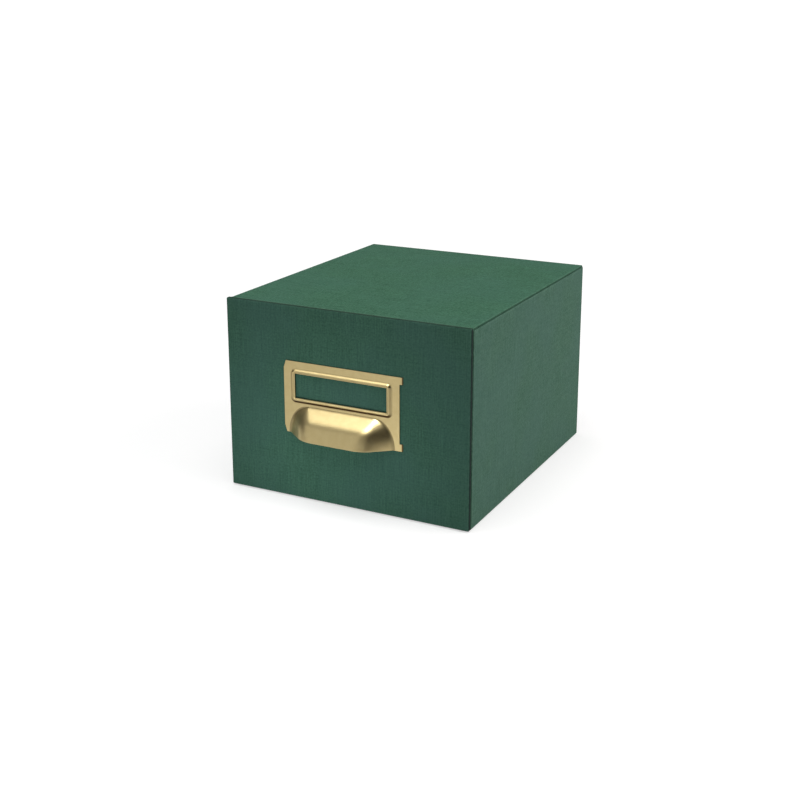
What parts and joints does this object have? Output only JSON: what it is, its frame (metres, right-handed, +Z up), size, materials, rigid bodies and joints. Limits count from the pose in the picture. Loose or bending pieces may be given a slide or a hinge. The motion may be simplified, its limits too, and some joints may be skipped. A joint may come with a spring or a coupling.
{
  "type": "index card drawer",
  "caption": "Cloth-covered board box with a pull-out tray for index cards and a stamped brass plate that holds a label and forms a cup pull.",
  "frame": {"origin": "bottom centre of the closed object, cup pull included, on the surface it stands on", "axes": "+X right along the front, +Y from the front to the back, +Z up; the drawer opens along -Y"},
  "size_m": [0.17, 0.2096, 0.127],
  "materials": {
    "book_cloth": "matt woven book cloth",
    "grey_board": "matt",
    "dark_paper": "matt",
    "lining_paper": "matt",
    "gummed_tape": "satin",
    "brass_plate": "satin"
  },
  "bodies": {
    "case": {"case_top_board": "grey_board", "case_bottom_board": "grey_board", "case_left_board": "grey_board", "case_right_board": "grey_board", "case_back_board": "grey_board", "case_top_cloth": "book_cloth", "case_side_cloth": "book_cloth", "case_mouth_binding": "book_cloth", "case_base_sheet": "dark_paper", "case_lining": "lining_paper", "case_back_lining": "lining_paper"},
    "drawer": {"tray_bottom_board": "grey_board", "tray_left_board": "grey_board", "tray_right_board": "grey_board", "tray_front_board": "grey_board", "tray_back_board": "grey_board", "tray_wrap_paper": "dark_paper", "tray_runner_sheet": "dark_paper", "tray_floor_liner": "lining_paper", "tray_corner_stays": "gummed_tape", "panel_board": "grey_board", "panel_cloth": "book_cloth", "panel_backing": "dark_paper", "pull_plate": "brass_plate"}
  },
  "joints": [
    {"name": "drawer_slide", "type": "slide", "parent": "case", "child": "drawer", "axis": [0, -1, 0], "range_m": [0, 0.165]}
  ]
}
